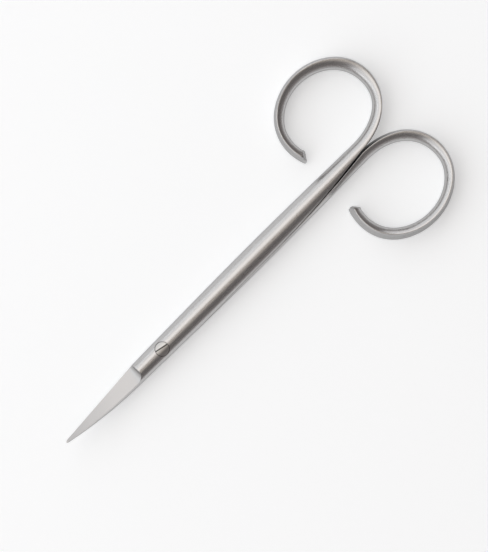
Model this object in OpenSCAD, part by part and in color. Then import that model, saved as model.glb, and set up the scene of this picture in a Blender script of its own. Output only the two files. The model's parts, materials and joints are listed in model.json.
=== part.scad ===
// Curved scissors of the one-rod kind: closed, the two half-round limbs make one slim round rod.
// Each limb is one forged piece: a ground, curved blade, a shank whose flat twists by a quarter turn,
// and an open finger bow. A slotted screw, ground flush, is the pivot.
// X runs from the blade tips to the finger bows, Y across, and Z up, towards the screw head.
// The model lies on Z = 0, with X = 0 at the middle of its length and Y = 0 on the rod's axis.

/* [Overall] */
// Length from the blade tips to the far side of the finger bows
overall_length = 95; // [88:1:108]
// Distance from the blade tips to the pivot
pivot_from_tip = 26.6; // [25:0.2:31]

/* [Rod] */
// Diameter of the closed rod at the shoulders of the blades
shoulder_diameter = 4.05; // [3.7:0.05:4.3]
// Diameter of the closed rod at the pivot
pivot_diameter = 4.3; // [4.1:0.05:4.8]
// Diameter of the closed rod where it is thickest
grip_diameter = 4.9; // [4.6:0.1:5.6]
// Distance from the blade tips to the thickest place
grip_from_tip = 54; // [46:1:60]
// Diameter of the closed rod at the neck, where the limbs part
neck_diameter = 4.3; // [3.9:0.1:4.8]
// Rounding of the long corners of the half-round section
corner_round = 0.1; // [0.05:0.01:0.2]

/* [Blade] */
// Length of the ground blade, from the tip to its shoulder
blade_length = 20.3; // [17:0.1:22]
// Height by which the tips curve up above the joint's plane
blade_rise = 3.6; // [1.5:0.1:5]
// Slope of the ground facet across the blade, in degrees
facet_slope = 20; // [16:1:26]
// Thickness of the honed cutting edge
edge_land = 0.05; // [0.04:0.01:0.1]
// Radius of the grinding wheel's run-out at the shoulder
shoulder_fillet = 1.2; // [0.8:0.05:2]
// Slant of the shoulder across the blade, in degrees
shoulder_slant = 16; // [0:1:25]
// Half width of the straight cutting edge, run on to the tip
tip_half_width = 0.5; // [0.3:0.05:0.7]
// Sideways place of the rounded tip
tip_offset = 0.2; // [0:0.05:0.25]
// Length over which the tip is rounded
tip_round = 0.4; // [0.2:0.05:0.6]
// Amount by which the back blade hides behind the front one
back_tuck = 0.06; // [0.02:0.01:0.12]
// Depth of the hollow ground into the inside of the blade
blade_hollow = 0.08; // [0.02:0.01:0.12]

/* [Finger bows] */
// Mean radius of a bow, at the middle of the limb's flat
bow_radius = 10.5; // [9.5:0.1:12]
// Turn of the front bow from the neck to its open end, in degrees
front_bow_turn = 292; // [270:1:296]
// Turn of the back bow from the neck to its open end, in degrees
back_bow_turn = 290; // [270:1:296]
// Width of a bow's flat where it is widest
bow_width = 4.6; // [4:0.1:4.6]
// Thickness of the front bow where it is thickest
front_bow_thickness = 2.7; // [2.2:0.05:2.8]
// Thickness of the back bow where it is thickest
back_bow_thickness = 2.35; // [2:0.05:2.8]
// Width of a bow's flat at the open end
bow_end_width = 3.5; // [3:0.1:4]
// Thickness of a bow at the open end
bow_end_thickness = 1.8; // [1.4:0.05:2]
// Slant of the open end's cut, in degrees
end_slant = 24; // [0:1:35]
// Rounding of the open end
end_round = 0.5; // [0.2:0.05:0.7]

/* [Pivot] */
// Diameter of the screw head
head_diameter = 2.86; // [2.4:0.02:3.2]
// Height of the head's seat above the joint's plane
seat_height = 1.1; // [0.9:0.05:1.3]
// Diameter of the screw's shank
screw_diameter = 1.8; // [1.4:0.1:2]
// Width of the driver slot
slot_width = 0.24; // [0.16:0.02:0.4]
// Depth of the driver slot below the top of the head
slot_depth = 0.55; // [0.3:0.05:0.7]
// Distance of the slot from the middle of the head
slot_offset = 0.26; // [0:0.02:0.4]
// Turn of the slot from the rod's length, in degrees
slot_turn = -11.5; // [-90:0.5:90]

/* [Fits] */
// Distance of each flat from the joint's plane, from the tips to past the pivot
flat_clearance = 0.02; // [0.02:0.01:0.05]
// Distance of each flat from the middle of the closed rod at the neck
neck_gap = 0.2; // [0.1:0.02:0.3]
// Radial clearance of the screw in the front limb
running_clearance = 0.03; // [0.02:0.01:0.08]
// Radial clearance of the screw's thread in the back limb
thread_clearance = 0.01; // [0.01:0.01:0.03]

/* [Hidden] */
steel = [0.77, 0.76, 0.75];
screw_steel = [0.7, 0.69, 0.68];
front = 1;
back = -1;
overrun = 6;
quarter_turn = 90;
half_turn = 180;

// Steps of the sweep: across the round and the flat, and along the blade, the shank and the bow
round_steps = 14;
flat_steps = 4;
blade_steps = 24;
shank_steps = 52;
bow_steps = 49;
fillet_steps = 10;
screw_sides = 72;

// Twist of the flat along the shank: [share of the way from pivot to neck, share of a quarter turn]
twist_shares = [[0, 0], [0.07, 0], [0.22, 0.22], [0.38, 0.385], [0.56, 0.4], [0.71, 0.47],
                [0.86, 0.65], [1, 0.91]];
// Opening of the gap between the flats: [share of the way from pivot to neck, share of neck_gap]
gap_shares = [[0, 0], [0.35, 0.05], [0.6, 0.35], [0.8, 0.75], [0.95, 1], [1, 1]];
// Bend of a bow: [turn so far in degrees, share of bow_radius]
front_bend_shares = [[0, 1.72], [40, 0.98], [80, 0.915], [120, 0.86], [160, 1.2], [200, 1.175],
                     [240, 0.86], [280, 1.04]];
back_bend_shares = [[0, 1.74], [40, 0.98], [80, 0.88], [120, 0.88], [160, 1.2], [200, 1.195],
                    [240, 0.83], [280, 1.04]];
// Swelling of a bow from its even taper to its thickest: [turn so far in degrees, share]
front_swell_shares = [[0, 0], [40, 0], [90, 0.85], [115, 1], [150, 0.71], [215, 0.11], [250, -0.09],
                      [290, 0]];
back_swell_shares = [[0, 0], [75, 1], [120, 0.15], [150, -0.05], [190, 0.14], [240, 0.27], [290, 0]];
// Lean of the bow's flat towards the front, in degrees against the turn so far
front_lean = [[0, -8], [45, 1], [90, 3.5], [180, 5.5], [240, 9], [270, 14], [296, 16]];
back_lean = [[0, 8], [45, 4], [90, 3.5], [180, 9], [220, 14], [296, 18]];
// Turn so far where a bow's flat is widest, in degrees
widest_turn = 110;
// Fade of the blade's hollow: [share of the way from tip to shoulder, share of blade_hollow]
hollow_shares = [[0, 1], [0.65, 1], [0.92, 0], [1, 0]];
// Belly of the blade's round side, as a power of the way from the shoulder
belly_power_share = 2.1;
// Spacing of the blade's stations, closer towards the tip
spacing_power_share = 1.6;
// Section of the open end as it rounds off: [share of end_round before the end, share of the full section]
end_shares = [[1, 1], [0.5, 0.96], [0.2, 0.86], [0, 0.72]];
// Length over which the end's slant grows, as a share of bow_end_width
slant_reach_share = 0.8;

// Smooth curve through a table of [place, value] rows, level at its crests and beyond both ends
function row_at(t, x, i = 0) = i >= len(t) - 2 || x < t[i + 1][0] ? i : row_at(t, x, i + 1);
function secant(t, i) = (t[i + 1][1] - t[i][1]) / (t[i + 1][0] - t[i][0]);
function tilt_at(t, i) =
    i == 0 ? secant(t, 0)
    : i == len(t) - 1 ? secant(t, i - 1)
    : secant(t, i - 1) * secant(t, i) <= 0 ? 0
    : (secant(t, i - 1) + secant(t, i)) / 2;
function curve(t, x) =
    let (u = min(max(x, t[0][0]), t[len(t) - 1][0]))
    let (i = row_at(t, u), h = t[i + 1][0] - t[i][0], f = (u - t[i][0]) / h)
    (1 + 2 * f) * (1 - f) ^ 2 * t[i][1] + f * (1 - f) ^ 2 * h * tilt_at(t, i)
    + f ^ 2 * (3 - 2 * f) * t[i + 1][1] - f ^ 2 * (1 - f) * h * tilt_at(t, i + 1);

// Bow: the middle of the flat walks along, turning by equal steps
function bow_turn(side) = side == front ? front_bow_turn : back_bow_turn;
function turn_at(side, i) = bow_turn(side) * i / bow_steps;
function ahead(turn) = [cos(turn), sin(turn)];
function stride(side, i) =
    let (bend = curve(side == front ? front_bend_shares : back_bend_shares, turn_at(side, i)))
    bow_radius * bend * turn_at(side, 1) * PI / half_turn;
function bow_path(side) = [for (i = 0, p = [0, 0]; i <= bow_steps;
    i = i + 1, p = p + stride(side, i - 1 / 2) * ahead(turn_at(side, i - 1 / 2))) p];
front_path = bow_path(front);
back_path = bow_path(back);

// Bow: width of the flat, thickness, and lean of the flat
function bow_width_at(side, turn) =
    curve([[0, neck_diameter], [widest_turn, bow_width], [bow_turn(side), bow_end_width]], turn);
function bow_thickness_at(side, turn) =
    let (thickest = side == front ? front_bow_thickness : back_bow_thickness)
    let (even = neck_diameter / 2 + (bow_end_thickness - neck_diameter / 2) * turn / bow_turn(side))
    even + (thickest - even) * curve(side == front ? front_swell_shares : back_swell_shares, turn);
function lean_at(side, turn) = side == front ? curve(front_lean, turn) : -curve(back_lean, turn);
function bow_gap(turn) = max(flat_clearance, neck_gap * (1 - min(turn / (quarter_turn / 2), 1)));
function reach(side, path) = max([for (i = [0:bow_steps]) let (turn = turn_at(side, i))
    path[i].x + bow_width_at(side, turn) / 2 * sin(abs(lean_at(side, turn))) * sin(turn)]);
split_x = overall_length - max(reach(front, front_path), reach(back, back_path));

// Rod: radius, twist and gap along the shank
rod_table = [[blade_length, shoulder_diameter / 2], [pivot_from_tip, pivot_diameter / 2],
             [grip_from_tip, grip_diameter / 2], [split_x, neck_diameter / 2]];
function shank_share(x) = (x - pivot_from_tip) / (split_x - pivot_from_tip);
function shank_twist(x) = quarter_turn * curve(twist_shares, shank_share(x));
function shank_gap(x) = max(flat_clearance, neck_gap * curve(gap_shares, shank_share(x)));
axis_height = grip_diameter / 2;

// Blade outlines as half widths: a straight one on the +Y side and a bellied one on the -Y side
function tip_share(x) = sqrt(1 - (1 - min(x / tip_round, 1)) ^ 2);
function blade_share(x) = min(max(x / blade_length, 0), 1);
function straight_side(x) =
    tip_offset + tip_share(x) * (tip_half_width - tip_offset
    + (shoulder_diameter / 2 - tip_half_width) * blade_share(x));
function bellied_side(x) =
    -tip_offset + tip_share(x) * (tip_offset
    + shoulder_diameter / 2 * (1 - (1 - blade_share(x)) ^ belly_power_share));
function tucked(x, width) = width - back_tuck * tip_share(x) * (1 - blade_share(x));
function hollow_at(x, half_width) =
    blade_hollow * (2 * half_width / shoulder_diameter) ^ 2 * curve(hollow_shares, blade_share(x));
function edge_side(side, x) = side == front ? straight_side(x) : tucked(x, bellied_side(x));
function spine_side(side, x) = side == front ? bellied_side(x) : tucked(x, straight_side(x));

// Curve of the blades: a surface turned about the pivot's axis, so that they slide on each other as they open
rise_start = pivot_from_tip - blade_length;
rise_radius = (blade_length ^ 2 + blade_rise ^ 2) / (2 * blade_rise);
function rise(reach) =
    reach <= rise_start ? 0 : rise_radius - sqrt(rise_radius ^ 2 - (reach - rise_start) ^ 2);
function blade_rise_at(p) = p.x < pivot_from_tip ? rise(norm([p.x - pivot_from_tip, p.y])) : 0;

// Half-round section as points [across the flat, away from the flat]
function half_round(half_width, depth, gap, corner, hollow = 0) =
    let (low = asin((gap + corner) / depth), flat = half_width * sqrt(1 - (gap / depth) ^ 2) - corner)
    concat(
        [for (i = [0:round_steps])
            let (a = low + (half_turn - 2 * low) * i / round_steps) [half_width * cos(a), depth * sin(a)]],
        [for (i = [0:flat_steps])
            let (u = 2 * i / flat_steps - 1) [flat * u, gap + hollow * (1 - u ^ 2)]]);

// One station of the sweep: place, heading, twist, section and slant of the section
function station(place, heading, twist, section, slant = 0) = [place, heading, twist, section, slant];
function blade_station(side, x) =
    let (e = edge_side(side, x), s = spine_side(side, x), r = max((e + s) / 2, edge_land))
    let (section = half_round(r, r, flat_clearance, min(edge_land / 2, r / 4), hollow_at(x, r)))
    station([x, (e - s) / 2], 0, 0, section);
function shank_corner(x) =
    let (grown = min((x - blade_length) / (pivot_from_tip - blade_length), 1))
    edge_land / 2 + (corner_round - edge_land / 2) * grown;
function shank_station(x) =
    let (r = curve(rod_table, x))
    station([x, 0], 0, shank_twist(x), half_round(r, r, shank_gap(x), shank_corner(x)));
function slant_at(length_left) =
    tan(end_slant) * max(0, 1 - length_left / (slant_reach_share * bow_end_width));
function bow_station(side, i, back_by = 0, share = 1) =
    let (turn = turn_at(side, i), path = side == front ? front_path : back_path)
    let (half_width = bow_width_at(side, turn) / 2, depth = bow_thickness_at(side, turn))
    station([split_x, 0] + path[i] - back_by * ahead(turn), turn, quarter_turn + lean_at(side, turn),
            share * half_round(half_width, depth, bow_gap(turn), corner_round),
            slant_at(back_by + (bow_steps - i) * stride(side, i)));
function blade_place(i) = blade_length * (i / blade_steps) ^ spacing_power_share;
function shank_place(i) = blade_length + (split_x - blade_length) * i / shank_steps;
function stations(side) = concat(
    [for (i = [0:blade_steps - 1]) blade_station(side, blade_place(i))],
    [for (i = [0:shank_steps - 1]) shank_station(shank_place(i))],
    [for (i = [0:bow_steps - 1]) bow_station(side, i)],
    [for (row = end_shares) bow_station(side, bow_steps, row[0] * end_round, row[1])]);

// Points of a station's section in the model, the back limb's turned over about the rod's axis
function placed(side, st, q) =
    let (heading = st[1], twist = st[2], forth = -st[4] * q[1])
    let (across = q[0] * cos(twist) + q[1] * sin(twist), up = q[1] * cos(twist) - q[0] * sin(twist))
    let (x = st[0].x - across * sin(heading) + forth * cos(heading))
    let (y = side * (st[0].y + across * cos(heading) + forth * sin(heading)))
    [x - overall_length / 2, y, axis_height + side * up + blade_rise_at([x, y])];
function ring(side, st) = [for (q = st[3]) placed(side, st, q)];

// Limb before grinding and boring. The flats of both limbs are split into triangles along the same lines
module limb_blank(side) {
    rings = [for (st = stations(side)) ring(side, st)];
    n = len(rings[0]);
    last = len(rings) - 1;
    sides = [for (i = [0:last - 1], j = [0:n - 1])
        let (a = i * n + j, b = i * n + (j + 1) % n, c = (i + 1) * n + (j + 1) % n, d = (i + 1) * n + j)
        each side == front ? [[a, c, b], [a, d, c]] : [[a, d, b], [b, d, c]]];
    tip_cap = [for (j = [1:n - 2]) [0, j, j + 1]];
    end_cap = [for (j = [1:n - 2]) [last * n, last * n + j + 1, last * n + j]];
    polyhedron([for (r = rings) each r], concat(sides, tip_cap, end_cap));
}

// Prism that runs across the blade and drops towards its cutting edge, from an outline along the blade
module across_blade(outline)
    rotate([quarter_turn - facet_slope, 0, 0]) linear_extrude(2 * overrun, center = true) polygon(outline);

// Grinding cut: along the facet, and then out of the limb in an arc whose line is slanted across the blade
module facet_cut(side) {
    foot = blade_length - shoulder_fillet * sin(acos(1 - shoulder_diameter / (4 * shoulder_fillet)));
    function ground(x) =
        let (land_top = blade_rise_at([x, 0]) + side * (edge_land + edge_side(side, x) * tan(facet_slope)))
        land_top * cos(facet_slope);
    away = side * (blade_rise + overrun);
    along = [for (i = [0:blade_steps]) let (x = foot * i / blade_steps) [x, ground(x)]];
    run_out = [for (i = [0:fillet_steps]) let (a = quarter_turn * i / fillet_steps)
        [foot + shoulder_fillet * sin(a), ground(foot) + side * shoulder_fillet * (1 - cos(a))]];
    run_in = foot - shoulder_fillet / 4;
    slant = -tan(shoulder_slant);
    translate([-overall_length / 2, 0, axis_height]) {
        across_blade(concat([[-overrun, along[0][1]]], along, [[foot, away], [-overrun, away]]));
        multmatrix([[1, side * slant, 0, slant * shoulder_diameter / 4], [0, 1, 0, 0], [0, 0, 1, 0]])
            across_blade(concat([[run_in, run_out[0][1]]], run_out,
                                [[foot + shoulder_fillet, away], [run_in, away]]));
    }
}

// Moves what is drawn about the Z axis to the pivot, on the joint's plane
module at_pivot()
    translate([pivot_from_tip - overall_length / 2, 0, axis_height]) children();

// Cylinder that reaches past both limbs, as a hole or as a shank to be trimmed
module long_cylinder(diameter) cylinder(h = 2 * overrun, d = diameter, center = true, $fn = screw_sides);

module back_limb() color(steel) difference() {
    limb_blank(back);
    facet_cut(back);
    at_pivot() long_cylinder(screw_diameter + 2 * thread_clearance);
}

module front_limb() color(steel) difference() {
    limb_blank(front);
    facet_cut(front);
    at_pivot() {
        long_cylinder(screw_diameter + 2 * running_clearance);
        translate([0, 0, seat_height])
            cylinder(h = overrun, d = head_diameter + 2 * running_clearance, $fn = screw_sides);
    }
}

// Screw: head and threaded end are ground flush with the round of the rod
module pivot_screw() color(screw_steel) at_pivot() difference() {
    intersection() {
        union() {
            long_cylinder(screw_diameter);
            translate([0, 0, seat_height + flat_clearance])
                cylinder(h = overrun, d = head_diameter, $fn = screw_sides);
        }
        rotate([0, quarter_turn, 0]) long_cylinder(pivot_diameter);
    }
    rotate([0, 0, slot_turn])
        translate([-overrun, slot_offset - slot_width / 2, pivot_diameter / 2 - slot_depth])
            cube([2 * overrun, slot_width, overrun]);
}

back_limb();
front_limb();
pivot_screw();
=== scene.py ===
# %% [markdown]
# # Curved scissors, modelled the way they are made
#
# The object is a slim pair of curved scissors. Closed, its two half-round limbs make one round steel rod.
# A smith draws a bar out, grinds the blade, drills the pivot, twists the shank by a quarter turn, bends the
# end round into a finger bow, and curves the blade up. This lesson does the same steps in the same order.
# The engineering model comes first, as a fixed frame: everything here is measured from it, in metres.

# %% The frame
import json
import math

import bmesh
import bpy
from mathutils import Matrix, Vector


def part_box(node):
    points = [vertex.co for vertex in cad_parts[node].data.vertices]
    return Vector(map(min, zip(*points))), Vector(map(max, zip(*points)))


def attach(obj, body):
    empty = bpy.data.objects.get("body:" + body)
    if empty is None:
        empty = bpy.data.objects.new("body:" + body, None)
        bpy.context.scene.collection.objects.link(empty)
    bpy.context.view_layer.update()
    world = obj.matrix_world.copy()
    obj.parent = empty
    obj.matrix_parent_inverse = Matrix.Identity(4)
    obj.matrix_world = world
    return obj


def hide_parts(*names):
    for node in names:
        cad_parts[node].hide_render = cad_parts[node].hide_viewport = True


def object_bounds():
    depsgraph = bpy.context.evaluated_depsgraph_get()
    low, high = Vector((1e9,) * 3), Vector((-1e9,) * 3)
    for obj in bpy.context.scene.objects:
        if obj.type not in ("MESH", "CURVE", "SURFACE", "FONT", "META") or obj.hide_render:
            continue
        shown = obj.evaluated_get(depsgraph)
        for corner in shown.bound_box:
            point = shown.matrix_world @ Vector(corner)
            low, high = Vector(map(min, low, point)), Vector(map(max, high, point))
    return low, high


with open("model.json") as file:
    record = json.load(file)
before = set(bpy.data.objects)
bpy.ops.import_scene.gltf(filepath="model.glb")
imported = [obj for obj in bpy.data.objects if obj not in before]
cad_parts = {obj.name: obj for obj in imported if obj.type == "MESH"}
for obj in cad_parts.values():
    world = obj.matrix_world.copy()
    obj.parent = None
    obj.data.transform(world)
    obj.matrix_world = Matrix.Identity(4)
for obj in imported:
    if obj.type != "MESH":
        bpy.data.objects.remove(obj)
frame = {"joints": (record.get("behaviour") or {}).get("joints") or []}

cad_low, cad_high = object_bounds()
pivot = Vector(frame["joints"][0]["pos_m"])
print("the frame spans", [round(c, 4) for c in cad_high - cad_low], "m, pivot at", [round(c, 4) for c in pivot])

# %% [markdown]
# ## Sizes
#
# What the frame already holds is read from it: where the tips are, the pivot's place, the rod's diameter at the
# pivot (the screw is ground flush with it) and the screw head. The other sizes are those of the forged limb.
# Tables of shares say how a form changes on its way. A smooth curve runs through each, level at its crests.

# %% Sizes of the limb
MM = 0.001
screw_low, screw_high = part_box("pivot_screw")
tip_x = cad_low.x
overall_length = 95 * MM
pivot_from_tip = pivot.x - tip_x
pivot_diameter = screw_high.z - screw_low.z
head_diameter = screw_high.x - screw_low.x

shoulder_diameter = 4.05 * MM
grip_diameter = 4.9 * MM
grip_from_tip = 54 * MM
neck_diameter = 4.3 * MM
blade_length = 20.3 * MM
blade_rise = 3.6 * MM
facet_slope = math.radians(20)
edge_land = 0.05 * MM
tip_half_width = 0.5 * MM
tip_offset = 0.2 * MM
tip_round = 0.4 * MM
back_tuck = 0.06 * MM
blade_hollow = 0.08 * MM
bow_radius = 10.5 * MM
bow_width = 4.6 * MM
bow_end_width = 3.5 * MM
bow_end_thickness = 1.8 * MM
bow_turn = {"front": 292, "back": 290}
bow_thickness = {"front": 2.7 * MM, "back": 2.35 * MM}
end_slant = {"front": math.radians(34), "back": math.radians(32)}
end_lean = {"front": math.radians(-18), "back": math.radians(12)}
flat_clearance = 0.02 * MM
neck_gap = 0.2 * MM
print("overall length", round(overall_length / MM, 2), "mm, rod at the pivot", round(pivot_diameter / MM, 2), "mm")

# %% Shares along the limb
twist_shares = [
    [0, 0], [0.07, 0], [0.22, 0.22], [0.38, 0.385], [0.56, 0.4], [0.71, 0.47], [0.86, 0.65], [1, 0.91]]
gap_shares = [[0, 0], [0.35, 0.05], [0.6, 0.35], [0.8, 0.75], [0.95, 1], [1, 1]]
hollow_shares = [[0, 1], [0.65, 1], [0.92, 0], [1, 0]]
bend_shares = {
    "front": [[0, 1.72], [40, 0.98], [80, 0.915], [120, 0.86], [160, 1.2], [200, 1.175], [240, 0.86], [280, 1.04]],
    "back": [[0, 1.74], [40, 0.98], [80, 0.88], [120, 0.88], [160, 1.2], [200, 1.195], [240, 0.83], [280, 1.04]],
}
swell_shares = {
    "front": [[0, 0], [40, 0], [90, 0.85], [115, 1], [150, 0.71], [215, 0.11], [250, -0.09], [290, 0]],
    "back": [[0, 0], [75, 1], [120, 0.15], [150, -0.05], [190, 0.14], [240, 0.27], [290, 0]],
}
lean_degrees = {
    "front": [[0, -8], [45, 1], [90, 3.5], [180, 5.5], [240, 9], [270, 14], [296, 16]],
    "back": [[0, -8], [45, -4], [90, -3.5], [180, -9], [220, -14], [296, -18]],
}
widest_turn = 110
gap_fade_turn = 45
belly_power = 2.1


def smooth(table, at):
    """Height of a smooth curve through a table of [place, value] rows, level at its crests and past its ends."""
    at = min(max(at, table[0][0]), table[-1][0])
    slopes = [(b[1] - a[1]) / (b[0] - a[0]) for a, b in zip(table, table[1:])]

    def tilt(row):
        before, after = slopes[max(row - 1, 0)], slopes[min(row, len(slopes) - 1)]
        return 0 if before * after <= 0 else (before + after) / 2

    row = max(i for i in range(len(slopes)) if table[i][0] <= at)
    (start, low), (end, high) = table[row], table[row + 1]
    span = end - start
    f = (at - start) / span
    straight = (1 + 2 * f) * (1 - f) ** 2 * low + f ** 2 * (3 - 2 * f) * high
    return straight + span * (f * (1 - f) ** 2 * tilt(row) - f ** 2 * (1 - f) * tilt(row + 1))


print("half way up the shank the flat has turned", round(90 * smooth(twist_shares, 0.5), 1), "degrees")

# %% [markdown]
# ## The line of a bow
#
# A bow is a wire that turns through nearly 300 degrees. It could be a circle, but a bow that is bent by hand
# isn't round, so the line walks along in small steps and turns a little at each. The bend table makes the
# radius grow and shrink on the way. The bows' far side fixes where the shanks end and the bows begin.

# %% Walk round a bow
bow_steps = 100


def bow_line(side):
    """[(turn in degrees, distance walked, x, y)] along the middle of a bow's flat, from the neck."""
    step = bow_turn[side] / bow_steps
    walk, x, y, line = 0, 0, 0, [(0, 0, 0, 0)]
    for i in range(bow_steps):
        middle = (i + 0.5) * step
        stride = bow_radius * smooth(bend_shares[side], middle) * math.radians(step)
        walk += stride
        x += stride * math.cos(math.radians(middle))
        y += stride * math.sin(math.radians(middle))
        line.append(((i + 1) * step, walk, x, y))
    return line


def bow_half_width(side, turn):
    """Half the width of the bow's flat."""
    table = [[0, neck_diameter], [widest_turn, bow_width], [bow_turn[side], bow_end_width]]
    return smooth(table, turn) / 2


def bow_thickness_at(side, turn):
    """Thickness of the bow, from its flat to the crown of its round side."""
    even = neck_diameter / 2 + (bow_end_thickness - neck_diameter / 2) * turn / bow_turn[side]
    return even + (bow_thickness[side] - even) * smooth(swell_shares[side], turn)


def reach(side):
    """How far a bow reaches past the neck, with the lean of its flat."""
    out = 0
    for turn, _, x, _ in bow_line(side):
        lean = math.radians(abs(smooth(lean_degrees[side], turn)))
        out = max(out, x + bow_half_width(side, turn) * math.sin(lean) * math.sin(math.radians(turn)))
    return out


neck_from_tip = overall_length - max(reach("front"), reach("back"))
print("the shanks part", round(neck_from_tip / MM, 2), "mm from the tips")

# %% [markdown]
# ## Drawing the bar out
#
# The limb starts as a straight bar along X. Its section is half a disc: a circle that is bisected and loses
# its lower half. The two corners are softened with a vertex bevel, and the flat is divided, because it's
# hollowed later. Then the end face is extruded from station to station and scaled at each one. A loft or a
# curve with a bevel profile would do as well, but extruding keeps one clean grid of faces from tip to bow.

# %% Helpers for choosing what an operator acts on
def choose(*things):
    """Selects these objects alone. The first is the active one."""
    if bpy.context.mode != "OBJECT":
        bpy.ops.object.mode_set(mode="OBJECT")
    bpy.ops.object.select_all(action="DESELECT")
    for thing in things:
        thing.select_set(True)
    bpy.context.view_layer.objects.active = things[0]


def pick(thing, kind, test):
    """In edit mode, selects the vertices, edges or faces whose middle passes a test."""
    bpy.ops.mesh.select_mode(type=kind)
    bpy.ops.mesh.select_all(action="DESELECT")
    mesh = bmesh.from_edit_mesh(thing.data)
    for part in {"VERT": mesh.verts, "EDGE": mesh.edges, "FACE": mesh.faces}[kind]:
        corners = [part] if kind == "VERT" else part.verts
        middle = sum((v.co for v in corners), Vector()) / len(corners)
        if test(middle, part):
            part.select_set(True)
    mesh.select_flush_mode()
    bmesh.update_edit_mesh(thing.data)


def apply_modifier(thing, kind, **settings):
    """Adds a modifier by its type, sets it and applies it."""
    choose(thing)
    modifier = thing.modifiers.new(kind.title(), kind)
    for name, value in settings.items():
        setattr(modifier, name, value)
    bpy.ops.object.modifier_apply(modifier=modifier.name)


# %% The section: half a disc with soft corners
section_radius = 2 * MM
corner_radius = 0.1 * MM
corner_segments = 3
section_sides = 96
flat_columns = 8


def half_disc(name):
    """A half disc across X, flat side down, with the middle of its flat at the origin."""
    bpy.ops.mesh.primitive_circle_add(
        vertices=section_sides, radius=section_radius, fill_type="NGON", rotation=(0, math.radians(90), 0))
    disc = bpy.context.object
    disc.name = disc.data.name = name
    bpy.ops.object.transform_apply(location=False, rotation=True, scale=False)
    bpy.ops.object.mode_set(mode="EDIT")
    bpy.ops.mesh.select_all(action="SELECT")
    bpy.ops.mesh.bisect(plane_co=(0, 0, 0), plane_no=(0, 0, 1), clear_inner=True)
    near = section_radius / section_sides
    pick(disc, "VERT", lambda p, v: abs(p.z) < near)
    bpy.ops.mesh.bevel(offset=corner_radius, segments=corner_segments, affect="VERTICES")
    pick(disc, "EDGE", lambda p, e: abs(p.z) < near and abs(p.y) < near)
    bpy.ops.mesh.subdivide(number_cuts=flat_columns - 1)
    bpy.ops.mesh.select_mode(type="FACE")
    bpy.ops.mesh.select_all(action="SELECT")
    return disc


# %% Stations: how wide and thick the bar is, from the tip to the end of the bow
blade_steps = 44
tip_crowding = 1.6
shank_step = 0.6 * MM
pivot_step = 0.2 * MM
pivot_zone = 2.4 * MM


def edge_side(side, x):
    """Half width of the blade on its cutting side: straight on the front blade, bellied on the back one."""
    return straight_side(x) if side == "front" else bellied_side(x) - tuck(x)


def spine_side(side, x):
    """Half width of the blade on its spine side."""
    return bellied_side(x) if side == "front" else straight_side(x) - tuck(x)


def nose(x):
    """Rounding of the tip: 0 at the very tip, 1 from tip_round on."""
    return math.sqrt(1 - (1 - min(x / tip_round, 1)) ** 2)


def straight_side(x):
    """Half width on the straight side of the closed blades."""
    grown = (shoulder_diameter / 2 - tip_half_width) * x / blade_length
    return tip_offset + nose(x) * (tip_half_width - tip_offset + grown)


def bellied_side(x):
    """Half width on the bellied side of the closed blades."""
    grown = shoulder_diameter / 2 * (1 - (1 - x / blade_length) ** belly_power)
    return -tip_offset + nose(x) * (tip_offset + grown)


def tuck(x):
    """The back blade is this much narrower, so that it hides behind the front one."""
    return back_tuck * nose(x) * (1 - x / blade_length)


def rod_radius(x):
    """Radius of the closed rod."""
    table = [[blade_length, shoulder_diameter / 2], [pivot_from_tip, pivot_diameter / 2],
             [grip_from_tip, grip_diameter / 2], [neck_from_tip, neck_diameter / 2]]
    return smooth(table, x)


def shank_gap(x):
    """Distance of the flat from the middle of the closed rod."""
    share = (x - pivot_from_tip) / (neck_from_tip - pivot_from_tip)
    return max(flat_clearance, neck_gap * smooth(gap_shares, share))


def shank_places():
    """Stations along the shank, close together round the screw."""
    x, places = blade_length, []
    while x < neck_from_tip - shank_step / 2:
        places.append(x)
        x += pivot_step if abs(x - pivot_from_tip) < pivot_zone else shank_step
    return places


def stations(side):
    """[(along, aside, gap, half width, thickness over the flat)] in metres, crowded towards the tip."""
    found = []
    for i in range(blade_steps):
        x = blade_length * (i / blade_steps) ** tip_crowding
        edge, spine = edge_side(side, x), spine_side(side, x)
        half = max((edge + spine) / 2, edge_land)
        found.append((x, (edge - spine) / 2, flat_clearance, half, half - flat_clearance))
    for x in shank_places():
        found.append((x, 0, shank_gap(x), rod_radius(x), rod_radius(x) - shank_gap(x)))
    for turn, walk, _, _ in bow_line(side):
        gap = max(flat_clearance, neck_gap * (1 - min(turn / gap_fade_turn, 1)))
        thick = bow_thickness_at(side, turn) - gap
        found.append((neck_from_tip + walk, 0, gap, bow_half_width(side, turn), thick))
    return found


def draw_out(bar, places):
    """Extrudes the bar's end face from station to station, and sizes it at each."""
    along, aside, gap, half, thick = places[0]
    bpy.ops.transform.resize(value=(1, half / section_radius, thick / section_radius), center_override=(0, 0, 0))
    bpy.ops.transform.translate(value=(along, aside, gap))
    for here, there in zip(places, places[1:]):
        move = [b - a for a, b in zip(here[:3], there[:3])]
        bpy.ops.mesh.extrude_region_move(TRANSFORM_OT_translate={"value": move})
        grow = (1, there[3] / here[3], there[4] / here[4])
        bpy.ops.transform.resize(value=grow, center_override=there[:3])
    bpy.ops.object.mode_set(mode="OBJECT")


bars = {}
for side in ("front", "back"):
    bars[side] = half_disc(side + "_limb_steel")
    draw_out(bars[side], stations(side))
    print(side, "bar drawn out:", len(bars[side].data.polygons), "faces over", len(stations(side)), "stations")

# %% [markdown]
# ## Soft corners on the bow
#
# On the shank the corners of the flat are crisp. On the bow they are rubbed round, because a finger lies there,
# and this is where the fine bright line along each bow comes from. A second bevel would run into the small one
# that is there already. So the corners are pushed in instead: a Displace modifier moves each vertex by a share,
# and the shares, kept in a vertex group, follow a quarter circle.

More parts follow.
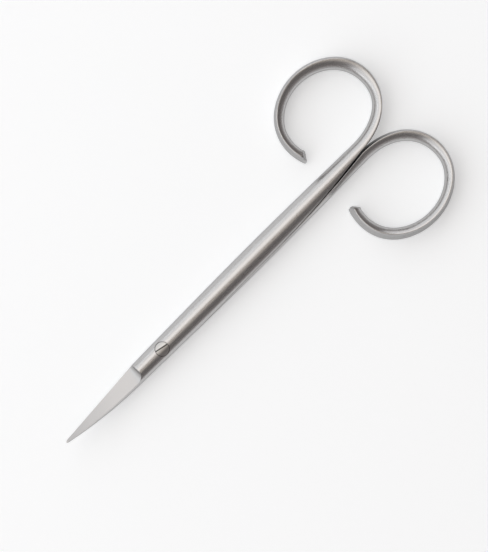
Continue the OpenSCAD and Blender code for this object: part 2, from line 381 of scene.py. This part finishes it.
# %% Push vertices by a share
def push(thing, direction, strength, share):
    """Moves each vertex along an axis, by the strength times its share from 0 to 1."""
    group = thing.vertex_groups.new(name="share")
    for vertex in thing.data.vertices:
        amount = share(vertex.co)
        if amount > 0:
            group.add([vertex.index], amount, "REPLACE")
    apply_modifier(thing, "DISPLACE", direction=direction, strength=strength, mid_level=0, vertex_group="share")
    thing.vertex_groups.remove(thing.vertex_groups["share"])


bow_corner = 0.24 * MM
corner_start = 6 * MM
gap_end = next(walk for turn, walk, _, _ in bow_line("front") if turn >= gap_fade_turn)


def corner_share(sign):
    """Share of bow_corner at a point, by its height over the flat. It grows from the neck on."""
    def share(p):
        walk = p.x - neck_from_tip
        if walk <= 0 or p.y * sign < bow_corner:
            return 0
        flat = max(flat_clearance, neck_gap * (1 - walk / gap_end))
        under = min(max(1 - (p.z - flat) / bow_corner, 0), 1)
        return min(walk / corner_start, 1) * (1 - math.sqrt(1 - under ** 2))
    return share


for side, bar in bars.items():
    for sign in (1, -1):
        push(bar, "Y", -sign * bow_corner, corner_share(sign))
print("the bows' corners are rounded by", bow_corner / MM, "mm")

# %% [markdown]
# ## Grinding the blade
#
# The facet is ground by a wheel that runs across the blade and falls towards the cutting edge. At the shoulder it
# lifts out: in a tight curve beside the edge, and sooner and more gently beside the spine, which gives the
# shoulder its round corner. The wheel's stroke is a surface between two lines. A vertex is extruded along each
# line, the two are bridged, and the surface is extruded upwards. A boolean then takes it away from the bar. The
# new faces keep the cutter's material, and so the ground face is easy to find when it gets its finish.

# %% The wheel's stroke
cutter_reach = 6 * MM
stroke_half_width = 2.5 * MM
fillet_steps = 20
edge_line = {"aside": stroke_half_width, "foot": 19.1 * MM, "fillet": 0.8 * MM}
spine_line = {"aside": -stroke_half_width, "foot": 17.8 * MM, "fillet": 2.8 * MM}
merge_distance = 0.0005 * MM
work = {name: bpy.data.materials.new(name) for name in ("polished", "ground", "painted_shade")}


def stroke_line(side, aside, foot, fillet):
    """Points of one line of the stroke: along the facet, and then up in an arc that begins at its foot."""
    def height(x):
        return edge_land + (edge_side(side, max(x, 0)) - aside) * math.tan(facet_slope)

    along = [-cutter_reach] + [foot * i / blade_steps for i in range(blade_steps + 1)]
    line = [Vector((x, aside, height(x))) for x in along]
    for i in range(1, fillet_steps + 1):
        a = math.radians(90) * i / fillet_steps
        lift = fillet * (1 - math.cos(a)) / math.cos(facet_slope)
        line.append(Vector((foot + fillet * math.sin(a), aside, height(foot) + lift)))
    return line


def boolean(thing, operation, cutter, mark="polished"):
    """Applies an exact boolean, which marks the faces that it leaves with a material, and merges its slivers."""
    cutter.data.materials.append(work[mark])
    apply_modifier(thing, "BOOLEAN", operation=operation, solver="EXACT", object=cutter)
    bpy.data.objects.remove(cutter)
    bpy.ops.object.mode_set(mode="EDIT")
    bpy.ops.mesh.select_all(action="SELECT")
    bpy.ops.mesh.remove_doubles(threshold=merge_distance)
    bpy.ops.object.mode_set(mode="OBJECT")


def open_edges(thing):
    """How many edges don't have exactly two faces. A closed shell has none."""
    mesh = bmesh.new()
    mesh.from_mesh(thing.data)
    found = sum(not edge.is_manifold for edge in mesh.edges)
    mesh.free()
    return found


def ready(thing):
    """Gives a piece a slot for each mark, all of it polished at first."""
    for material in work.values():
        thing.data.materials.append(material)


def grind(bar, lines):
    """Takes the wheel's stroke, a surface between two lines, away from the bar with all that is above it."""
    bpy.ops.mesh.primitive_plane_add(size=edge_land)
    wheel = bpy.context.object
    bpy.ops.object.mode_set(mode="EDIT")
    bpy.ops.mesh.select_mode(type="VERT")
    bpy.ops.mesh.delete(type="VERT")
    for line in lines:
        bpy.ops.mesh.primitive_plane_add(size=edge_land)
        bpy.ops.mesh.merge(type="CENTER")
        bpy.ops.transform.translate(value=line[0])
        for here, there in zip(line, line[1:]):
            bpy.ops.mesh.extrude_vertices_move(TRANSFORM_OT_translate={"value": there - here})
    bpy.ops.mesh.select_all(action="SELECT")
    bpy.ops.mesh.bridge_edge_loops()
    bpy.ops.mesh.select_all(action="SELECT")
    bpy.ops.mesh.extrude_region_move(TRANSFORM_OT_translate={"value": (0, 0, cutter_reach)})
    bpy.ops.mesh.select_all(action="SELECT")
    bpy.ops.mesh.normals_make_consistent(inside=False)
    bpy.ops.object.mode_set(mode="OBJECT")
    boolean(bar, "DIFFERENCE", wheel, "ground")


for side, bar in bars.items():
    ready(bar)
    grind(bar, [stroke_line(side, **line) for line in (edge_line, spine_line)])
    print(side, "blade ground:", sum(p.material_index for p in bar.data.polygons), "ground faces")

# %% [markdown]
# ## The hollow of the flat
#
# The inside of a blade isn't quite flat. It is hollow-ground, so that only the edges touch. The hollow is another
# push, which lifts the flat. Proportional editing could do it by hand, but its falloff is round, and this hollow
# is a long trough.

# %% Hollow the flat
def hollow_share(side):
    """Share of the hollow's depth at a point of the flat, and 0 off the flat."""
    def share(p):
        if not 0 < p.x < blade_length or abs(p.z - flat_clearance) > flat_clearance / 10:
            return 0
        edge, spine = edge_side(side, p.x), spine_side(side, p.x)
        half = (edge + spine) / 2
        u = (p.y - (edge - spine) / 2) / half
        return (2 * half / shoulder_diameter) ** 2 * smooth(hollow_shares, p.x / blade_length) * max(0, 1 - u * u)
    return share


for side, bar in bars.items():
    push(bar, "Z", blade_hollow, hollow_share(side))
print("blades hollowed by", blade_hollow / MM, "mm")

# %% [markdown]
# ## Boring for the screw
#
# Each limb is bored while it is straight, and the front one gets a seat for the screw head. Booleans with
# cylinders are the plain way. The rims are broken, because on a real pair they are: a thin ring, pushed down on
# the round of the rod, is taken away from the limb and from the screw. The faces of the bores and seams are
# marked for painted shade, so that the seam is painted as a fine dark line.

# %% Bores, head seat and broken rims
screw_sides = 96
screw_diameter = 1.8 * MM
seat_height = 1.1 * MM
running_clearance = 0.03 * MM
thread_clearance = 0.01 * MM
rim_groove = 0.06 * MM
groove_sides = 8


def cylinder(diameter, depth, middle, sides=screw_sides, turn=(0, 0, 0)):
    """Adds a cylinder along Z, unless it is turned."""
    bpy.ops.mesh.primitive_cylinder_add(
        vertices=sides, radius=diameter / 2, depth=depth, location=middle, rotation=turn)
    return bpy.context.object


def bore(thing, diameter, bottom):
    """Bores a hole at the pivot, from a height upwards."""
    drill = cylinder(diameter, 2 * cutter_reach, (pivot_from_tip, 0, bottom + cutter_reach))
    # Painted shade: the bore's faces are marked to be painted dark.
    boolean(thing, "DIFFERENCE", drill, "painted_shade")


def break_rim(thing, middle, diameter, up=1):
    """Takes a fine ring away along the round of the rod, on its top or its underside."""
    rod = pivot_diameter / 2
    bpy.ops.mesh.primitive_torus_add(
        major_radius=diameter / 2, minor_radius=rim_groove, major_segments=screw_sides,
        minor_segments=groove_sides, location=middle + Vector((0, 0, up * rod)))
    ring = bpy.context.object
    bpy.ops.object.transform_apply(location=True, rotation=True, scale=True)
    push(ring, "Z", -up * rod, lambda p: 1 - math.sqrt(1 - (p.y / rod) ** 2))
    # Painted shade: the seam's faces are marked to be painted as a dark line.
    boolean(thing, "DIFFERENCE", ring, "painted_shade")


bore_place = Vector((pivot_from_tip, 0, 0))
seat_diameter = head_diameter + 2 * running_clearance
bore(bars["front"], screw_diameter + 2 * running_clearance, -cutter_reach)
bore(bars["front"], seat_diameter, seat_height)
break_rim(bars["front"], bore_place, head_diameter + running_clearance)
bore(bars["back"], screw_diameter + 2 * thread_clearance, -cutter_reach)
break_rim(bars["back"], bore_place, screw_diameter + thread_clearance)
print("bored:", {side: len(bar.data.polygons) for side, bar in bars.items()}, "faces")

# %% [markdown]
# ## The open end of the bow
#
# The end is cut off at a slant, so that the round side stops sooner than the flat, and the top sooner than the
# underside. Its rim is polished round. One bisect makes the cut and fills it. The rounding is a few short
# extrusions of the new face, each a bit smaller. A bevel would do the same on a plain edge, but here it would trip
# over the short corners. The cut comes after the last boolean, because its small faces would be merged there.

# %% Cut and round the end
end_rounding = [(0.2 * MM, 0.97), (0.15 * MM, 0.93), (0.1 * MM, 0.88), (0.05 * MM, 0.8)]
end_allowance = {"front": 0.6 * MM, "back": 0.05 * MM}
many_corners = 8
same_way = 0.99


def finish_end(bar, side):
    """Cuts the open end at a slant and rounds it off."""
    length = neck_from_tip + bow_line(side)[-1][1] - end_allowance[side]
    slant = Vector((math.cos(end_slant[side]), math.tan(end_lean[side]), math.sin(end_slant[side]))).normalized()
    near = length - bow_width
    choose(bar)
    bpy.ops.object.mode_set(mode="EDIT")
    pick(bar, "FACE", lambda p, f: p.x > near)
    bpy.ops.mesh.bisect(plane_co=(length, 0, 0), plane_no=slant, clear_outer=True, use_fill=True)
    pick(bar, "FACE", lambda p, f: p.x > near and len(f.verts) > many_corners and f.normal.dot(slant) > same_way)
    for depth, share in end_rounding:
        bpy.ops.mesh.extrude_region_move(TRANSFORM_OT_translate={"value": slant * depth})
        bpy.ops.transform.resize(value=(share, share, share))
    bpy.ops.mesh.select_all(action="SELECT")
    bpy.ops.mesh.normals_make_consistent(inside=False)
    bpy.ops.object.mode_set(mode="OBJECT")


for side, bar in bars.items():
    finish_end(bar, side)
    print(side, "bar ends at", round(max(v.co.x for v in bar.data.vertices) / MM, 2), "mm, measured along the bar")

# %% [markdown]
# ## What the finish needs to know
#
# The grinding marks follow the steel, so they are drawn before it is bent. Attributes keep what the straight bar
# knows: each vertex's place along and across the bar, and which faces are ground or get painted shade. The flats
# between the two shanks get painted shade too, where the gap between the shanks falls dark, and a third share keeps
# how dark it is painted. All stay on the mesh while it is wrapped, as a UV map would, but without a seam.

# %% Keep the bar's own coordinates
# Painted shade between the shanks: its share along the bar, in millimetres.
painted_gap_shade_shares = [[0, 0], [26, 0], [50, 1], [82, 1], [90, 0]]


def painted_gap_shade_share(face, origin):
    """How much painted shade a face gets: 1 on the flats between the shanks, 0 on the round of the bar."""
    inside = face.normal.z < -same_way and abs(face.center.z - origin.z) < neck_gap + flat_clearance
    return smooth(painted_gap_shade_shares, (face.center.x - origin.x) / MM) if inside else 0


def remember(thing, origin):
    """Stores the place on the straight bar, in millimetres, the marked faces and the share of painted shade between
    the shanks.
    """
    mesh = thing.data
    place = mesh.attributes.new("bar", "FLOAT_VECTOR", "POINT")
    place.data.foreach_set("vector", [c for v in mesh.vertices for c in (v.co - origin) / MM])
    for mark in ("ground", "painted_shade"):
        slot = mesh.materials.find(mark)
        share = mesh.attributes.new(mark, "FLOAT", "FACE")
        share.data.foreach_set("value", [float(p.material_index == slot) for p in mesh.polygons])
    # Painted shade on the flats between the shanks, where the gap between them falls dark.
    share = mesh.attributes.new("painted_gap_shade", "FLOAT", "FACE")
    share.data.foreach_set("value", [painted_gap_shade_share(p, origin) for p in mesh.polygons])


for side, bar in bars.items():
    remember(bar, Vector())
print("attributes:", [a.name for a in bars["front"].data.attributes if not a.name.startswith(".")])

# %% [markdown]
# ## Twisting the shank and bending the bow
#
# The bar is wrapped along a guide curve with a Curve modifier. The guide runs straight to the neck and then
# round the bow, and its tilt turns the flat by a quarter turn on the way. Bending in one go keeps every section
# square to the line, which a hand-placed loft wouldn't. The back limb is then turned over about the rod's axis.

# %% Guide curves
def shank_twist(x):
    """Turn of the flat along the shank, in degrees."""
    return 90 * smooth(twist_shares, (x - pivot_from_tip) / (neck_from_tip - pivot_from_tip))


def guide(side):
    """A curve along the middle of the limb's flat, tilted as the flat turns."""
    places = [(x, 0, shank_twist(x)) for x in [0, *shank_places()]]
    places += [(neck_from_tip + x, y, 90 + smooth(lean_degrees[side], turn)) for turn, _, x, y in bow_line(side)]
    line = bpy.data.curves.new(side + "_guide", "CURVE")
    line.dimensions, line.twist_mode, line.use_radius = "3D", "Z_UP", False
    spline = line.splines.new("POLY")
    spline.points.add(len(places) - 1)
    for point, (x, y, twist) in zip(spline.points, places):
        point.co = (x, y, 0, 1)
        point.tilt = -math.radians(twist)
    thing = bpy.data.objects.new(side + "_guide", line)
    bpy.context.collection.objects.link(thing)
    return thing


for side, bar in bars.items():
    line = guide(side)
    apply_modifier(bar, "CURVE", object=line, deform_axis="POS_X")
    bpy.data.objects.remove(line)
    choose(bar)
    if side == "back":
        bpy.ops.transform.rotate(value=math.pi, orient_axis="X", center_override=(0, 0, 0))
    bpy.ops.transform.translate(value=(tip_x, 0, pivot.z))
    bpy.ops.object.transform_apply(location=True, rotation=True, scale=True)
    print(side, "limb spans", [round(c / MM, 2) for c in bar.dimensions], "mm")

# %% [markdown]
# ## Curving the blades up
#
# Both tips rise towards the screw head's side. The lift depends only on the distance from the pivot, as if both
# flats lay on one bowl that is turned about the pivot. That is why curved scissors still close along the whole
# edge: each blade slides on its own bowl. The lift is another push, along Z.

# %% Lift the blades
rise_start = pivot_from_tip - blade_length
rise_radius = (blade_length ** 2 + blade_rise ** 2) / (2 * blade_rise)


def rise_share(p):
    """Share of blade_rise at a point, from its distance to the pivot."""
    out = math.hypot(p.x - pivot.x, p.y) - rise_start
    if p.x > pivot.x or out <= 0:
        return 0
    return min((rise_radius - math.sqrt(rise_radius ** 2 - out ** 2)) / blade_rise, 1)


for side, bar in bars.items():
    push(bar, "Z", blade_rise, rise_share)
    print(side, "tip is at", round(max(v.co.z for v in bar.data.vertices if v.co.x < tip_x + MM) / MM, 2), "mm")

# %% [markdown]
# ## The pivot screw
#
# The screw is head and threaded end in one, and both are ground flush with the rod, so its ends are curved like
# the rod itself. Two cylinders are joined, and then only what lies inside a third cylinder along X is kept. That
# gives the flush ends with no guessing. The slot is a thin block that is taken away, a little off the middle.

# %% Make the screw
slot_width = 0.24 * MM
slot_depth = 0.55 * MM
slot_offset = 0.26 * MM
slot_turn = math.radians(-11.5)
rod_sides = 192

seat = pivot + Vector((0, 0, seat_height + flat_clearance))
screw = cylinder(head_diameter, cutter_reach, seat + Vector((0, 0, cutter_reach / 2)))
screw.name = screw.data.name = "pivot_screw_steel"
bpy.ops.object.transform_apply(location=True, rotation=True, scale=True)
ready(screw)
boolean(screw, "UNION", cylinder(screw_diameter, 2 * cutter_reach, pivot))
rod = cylinder(pivot_diameter, 2 * cutter_reach, pivot, rod_sides, (0, math.radians(90), 0))
boolean(screw, "INTERSECT", rod)
break_rim(screw, pivot, head_diameter + running_clearance)
break_rim(screw, pivot, screw_diameter + thread_clearance, up=-1)

slot_middle = pivot + Vector((-math.sin(slot_turn), math.cos(slot_turn), 0)) * slot_offset
slot_middle.z += pivot_diameter / 2 - slot_depth + cutter_reach / 2
bpy.ops.mesh.primitive_cube_add(size=1, location=slot_middle, rotation=(0, 0, slot_turn))
bpy.ops.transform.resize(value=(cutter_reach, slot_width, cutter_reach), orient_type="LOCAL")
# Painted shade: the slot's faces are marked to be painted dark, because the deep slot falls in shade.
boolean(screw, "DIFFERENCE", bpy.context.object, "painted_shade")
remember(screw, Vector((tip_x, 0, pivot.z)))
print("screw:", len(screw.data.polygons), "faces,", [round(c / MM, 2) for c in screw.dimensions], "mm")

# %% [markdown]
# ## Closed shells and smooth shading
#
# Every piece ends as one closed shell whose faces point outwards. Then it is shaded smooth, except across edges
# sharper than an angle: the ground edges, the corners of the flat and the rims stay crisp. Weighted normals
# keep the broad faces true next to the small ones that the booleans left.

# %% Finish the meshes
crisp_angle = math.radians(24)
pieces = {"front_limb": bars["front"], "back_limb": bars["back"], "pivot_screw": screw}

for node, piece in pieces.items():
    choose(piece)
    bpy.ops.object.mode_set(mode="EDIT")
    bpy.ops.mesh.select_all(action="SELECT")
    bpy.ops.mesh.normals_make_consistent(inside=False)
    bpy.ops.object.mode_set(mode="OBJECT")
    bpy.ops.object.shade_smooth_by_angle(angle=crisp_angle)
    apply_modifier(piece, "WEIGHTED_NORMAL", keep_sharp=True)
    print(piece.name, "has", len(piece.data.polygons), "faces and", open_edges(piece), "open edges")

# %% [markdown]
# ## Steel, written as arithmetic
#
# A finish is a node tree, and most of a node tree is arithmetic. The small class below wraps a socket, so that
# adding or multiplying two of them adds the Math node. Every other node comes from its one method.

# %% A socket that can be calculated with
class Wire:
    """A shader socket. Arithmetic adds Math nodes, and node() adds any other node to the same tree."""

    def __init__(self, tree, socket=None):
        self.tree, self.socket = tree, socket

    def node(self, kind, settings=None, sockets=None, out=0):
        """Adds a node: its settings first, then the values or links of its sockets. Returns one output."""
        new = self.tree.nodes.new(kind)
        for name, value in (settings or {}).items():
            setattr(new, name, value)
        for name, value in (sockets or {}).items():
            if isinstance(value, Wire):
                self.tree.links.new(value.socket, new.inputs[name])
            else:
                new.inputs[name].default_value = value
        return Wire(self.tree, new.outputs[out] if new.outputs else None)

    def maths(self, operation, first, second=0):
        return self.node("ShaderNodeMath", {"operation": operation}, {0: first, 1: second})

    def __add__(self, other):
        return self.maths("ADD", self, other)

    def __sub__(self, other):
        return self.maths("SUBTRACT", self, other)

    def __rsub__(self, other):
        return self.maths("SUBTRACT", other, self)

    def __mul__(self, other):
        return self.maths("MULTIPLY", self, other)

    __radd__ = __add__
    __rmul__ = __mul__

    def scaled(self, x, y, z):
        """A vector socket times three numbers."""
        return self.node("ShaderNodeVectorMath", {"operation": "MULTIPLY"}, {0: self, 1: (x, y, z)})

    def blend(self, low, high):
        """The colour that is this share of the way from one colour to another."""
        return self.node("ShaderNodeMix", {"data_type": "RGBA"}, {0: self, 6: low, 7: high}, out=2)

    def noise(self, detail=2):
        """Noise on a vector socket, from 0 to 1."""
        return self.node("ShaderNodeTexNoise", {}, {"Vector": self, "Scale": 1, "Detail": detail})


def fresh(material):
    """Empties the node tree of a material or a world and returns it as a Wire."""
    material.use_nodes = True
    material.node_tree.nodes.clear()
    return Wire(material.node_tree)


print("the wire adds, subtracts and multiplies")

# %% [markdown]
# ## Satin steel
#
# The real pair is stainless steel with a fine satin polish. Its marks run along the round of the limbs, but
# across the ground facet, where the wheel went. The marks are noise that is drawn out into streaks in the bar's
# own millimetres. They move the roughness a little, and a faint bump with them breaks the reflections up. Slow,
# soft noise on top keeps the long reflections from looking like a computer drew them. The seams, the bores, the
# slot and the flats between the shanks are painted dark and dull: painted shade, where these hollows and the gap
# fall dark.

# %% The steel's finish
along_scale, across_scale, cloud_scale = (0.5, 18, 18), (16, 0.5, 0.5), (0.25, 0.5, 0.5)
cloud_detail = 3
streak_tint, cloud_tint, ground_tint = 0.3, 0.7, 0.4
streak_rough, cloud_rough, ground_rough, dark_rough = 0.04, 0.05, 0.06, 0.25
bump_strength, bump_height = 0.15, 0.001 * MM
# Painted shade: how dark the flats between the shanks are painted, and how dull and near-black the seams, bores and
# slot are painted.
painted_gap_shade_darkness, painted_shade_dullness = 0.75, 0.6
painted_shade_colour = (0.06, 0.055, 0.05)
edge_tint = (0.6, 0.6, 0.6)


def steel(name, colour, dull, roughness):
    """Satin steel, between a bright and a dull colour, with streaks along the bar and across the ground face."""
    material = bpy.data.materials.new(name)
    tree = fresh(material)

    def kept(attribute, out="Fac"):
        return tree.node("ShaderNodeAttribute", {"attribute_name": attribute}, out=out)

    bar_place, ground_share, painted_shade_share, painted_gap_shade = kept("bar", "Vector"), kept("ground"), kept("painted_shade"), kept("painted_gap_shade")
    along = bar_place.scaled(*along_scale).noise()
    across = bar_place.scaled(*across_scale).noise()
    streaks = along + (across - along) * ground_share
    clouds = bar_place.scaled(*cloud_scale).noise(cloud_detail)
    bright = streaks * streak_tint + clouds * cloud_tint - ground_share * ground_tint
    # Painted shade: seams, bores, slot and the flats between the shanks are blended towards a near-black, duller
    # steel.
    dark = painted_shade_share + painted_gap_shade * painted_gap_shade_darkness
    tint = dark.blend(bright.blend((*dull, 1), (*colour, 1)), (*painted_shade_colour, 1))
    rough = roughness + (streaks - 0.5) * streak_rough + (clouds - 0.5) * cloud_rough
    rough += ground_share * ground_rough + dark * dark_rough
    bump = tree.node("ShaderNodeBump", {}, {
        "Strength": bump_strength, "Distance": bump_height, "Height": streaks})
    shader = tree.node("ShaderNodeBsdfPrincipled", {}, {
        "Base Color": tint, "Metallic": 1 - painted_shade_share * painted_shade_dullness, "Roughness": rough, "Normal": bump,
        "Specular Tint": (*edge_tint, 1)})
    tree.node("ShaderNodeOutputMaterial", {}, {"Surface": shader})
    return material


limb_steel = steel("limb_steel_satin", (0.56, 0.553, 0.552), (0.50, 0.493, 0.492), 0.27)
screw_steel = steel("screw_steel_satin", (0.57, 0.56, 0.55), (0.51, 0.50, 0.49), 0.30)
print("finishes:", limb_steel.name, screw_steel.name)

# %% Hand the pieces over to the frame
finishes = {"front_limb": limb_steel, "back_limb": limb_steel, "pivot_screw": screw_steel}
bodies = {"front_limb": "front_half", "back_limb": "back_half", "pivot_screw": "back_half"}

for node, piece in pieces.items():
    piece.data.materials.clear()
    piece.data.materials.append(finishes[node])
    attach(piece, bodies[node])
    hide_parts(node)
    print(piece.name, "rides on", bodies[node])

# %% [markdown]
# ## Floor, light and camera
#
# The scissors lie on a pale floor and are seen from straight above. Polished steel shows what is around it, so
# the light is built for its reflections: a long window above one side, a cooler one low beside it, a small warm
# lamp nearly overhead, and no lamp on the other side. The world is dim, and brighter at the horizon. The floor
# shines by itself only for the camera, in reflections and through glass, so that it looks white there and still
# takes the shadow of the steel.

# %% The floor
floor_drop = 0.02 * MM
floor_size = 3.0
floor_colour = (0.78, 0.80, 0.82)
floor_glow = 0.38

bpy.ops.mesh.primitive_plane_add(size=floor_size, location=(0, 0, cad_low.z - floor_drop))
floor = bpy.context.object
floor.name = "floor"
bpy.ops.object.transform_apply(location=True, rotation=True, scale=True)
floor_material = bpy.data.materials.new("pale_floor")
tree = fresh(floor_material)
path = [tree.node("ShaderNodeLightPath", out=o) for o in ("Is Camera Ray", "Is Glossy Ray", "Is Transmission Ray")]
seen = tree.maths("MAXIMUM", tree.maths("MAXIMUM", path[0], path[1]), path[2])
glow = tree.node("ShaderNodeEmission", {}, {"Color": (1, 1, 1, 1), "Strength": seen * floor_glow})
matt = tree.node("ShaderNodeBsdfDiffuse", {}, {"Color": (*floor_colour, 1)})
both = tree.node("ShaderNodeAddShader", {}, {0: matt, 1: glow})
tree.node("ShaderNodeOutputMaterial", {}, {"Surface": both})
floor.data.materials.append(floor_material)
print("floor at", round((cad_low.z - floor_drop) / MM, 2), "mm")

# %% The world
world_colour = (1, 0.93, 0.91)
world_level = 0.19
horizon_level = 0.55
horizon_fade = 7

scene = bpy.context.scene
scene.view_settings.view_transform = "Standard"
scene.world = bpy.data.worlds.new("studio")
tree = fresh(scene.world)
sky_way = tree.node("ShaderNodeTexCoord", out="Generated")
height = tree.maths("ABSOLUTE", sky_way.node("ShaderNodeSeparateXYZ", {}, {0: sky_way}, out="Z"))
glow = world_level + horizon_level * tree.maths("EXPONENT", height * -horizon_fade)
sky = tree.node("ShaderNodeBackground", {}, {"Color": (*world_colour, 1), "Strength": glow})
tree.node("ShaderNodeOutputWorld", {}, {"Surface": sky})
print("world level", world_level, "and at the horizon", world_level + horizon_level)

# %% The lights
lamp_distance = 1.0


def softbox(name, azimuth, elevation, size, level, colour):
    """A soft area light that faces the scissors. Angles are in degrees, from +X and from the floor."""
    bpy.ops.object.light_add(type="AREA")
    lamp = bpy.context.object
    lamp.name = name
    lamp.data.shape = "RECTANGLE"
    lamp.data.size, lamp.data.size_y = size
    lamp.data.energy = level * math.pi * size[0] * size[1]
    lamp.data.color = colour
    a, e = math.radians(azimuth), math.radians(elevation)
    lamp.location = Vector((math.cos(e) * math.cos(a), math.cos(e) * math.sin(a), math.sin(e))) * lamp_distance
    lamp.rotation_euler = (-lamp.location).to_track_quat("-Z", "Y").to_euler()
    lamp.visible_camera = False


softbox("window", azimuth=118, elevation=56, size=(5.4, 0.95), level=0.96, colour=(0.98, 0.99, 1))
softbox("low", azimuth=128, elevation=22, size=(3.4, 0.5), level=0.86, colour=(0.93, 0.98, 1))
softbox("overhead", azimuth=122, elevation=79, size=(1.2, 0.95), level=0.46, colour=(1, 0.9, 0.78))

# %% The camera
view_height = 110.17 * MM
view_middle = (0.90 * MM, -1.19 * MM)
view_distance = 1.5
view_right = (0.70873, -0.70548)
view_limit = 10
sensor = 36
view_turn = math.atan2(view_right[1], view_right[0])
bpy.ops.object.camera_add(location=(*view_middle, view_distance), rotation=(0, 0, view_turn))
camera = bpy.context.object
camera.data.sensor_width = sensor
camera.data.lens = sensor * view_distance / view_height
camera.data.clip_end = view_limit
scene.camera = camera
print("lens", round(camera.data.lens), "mm")
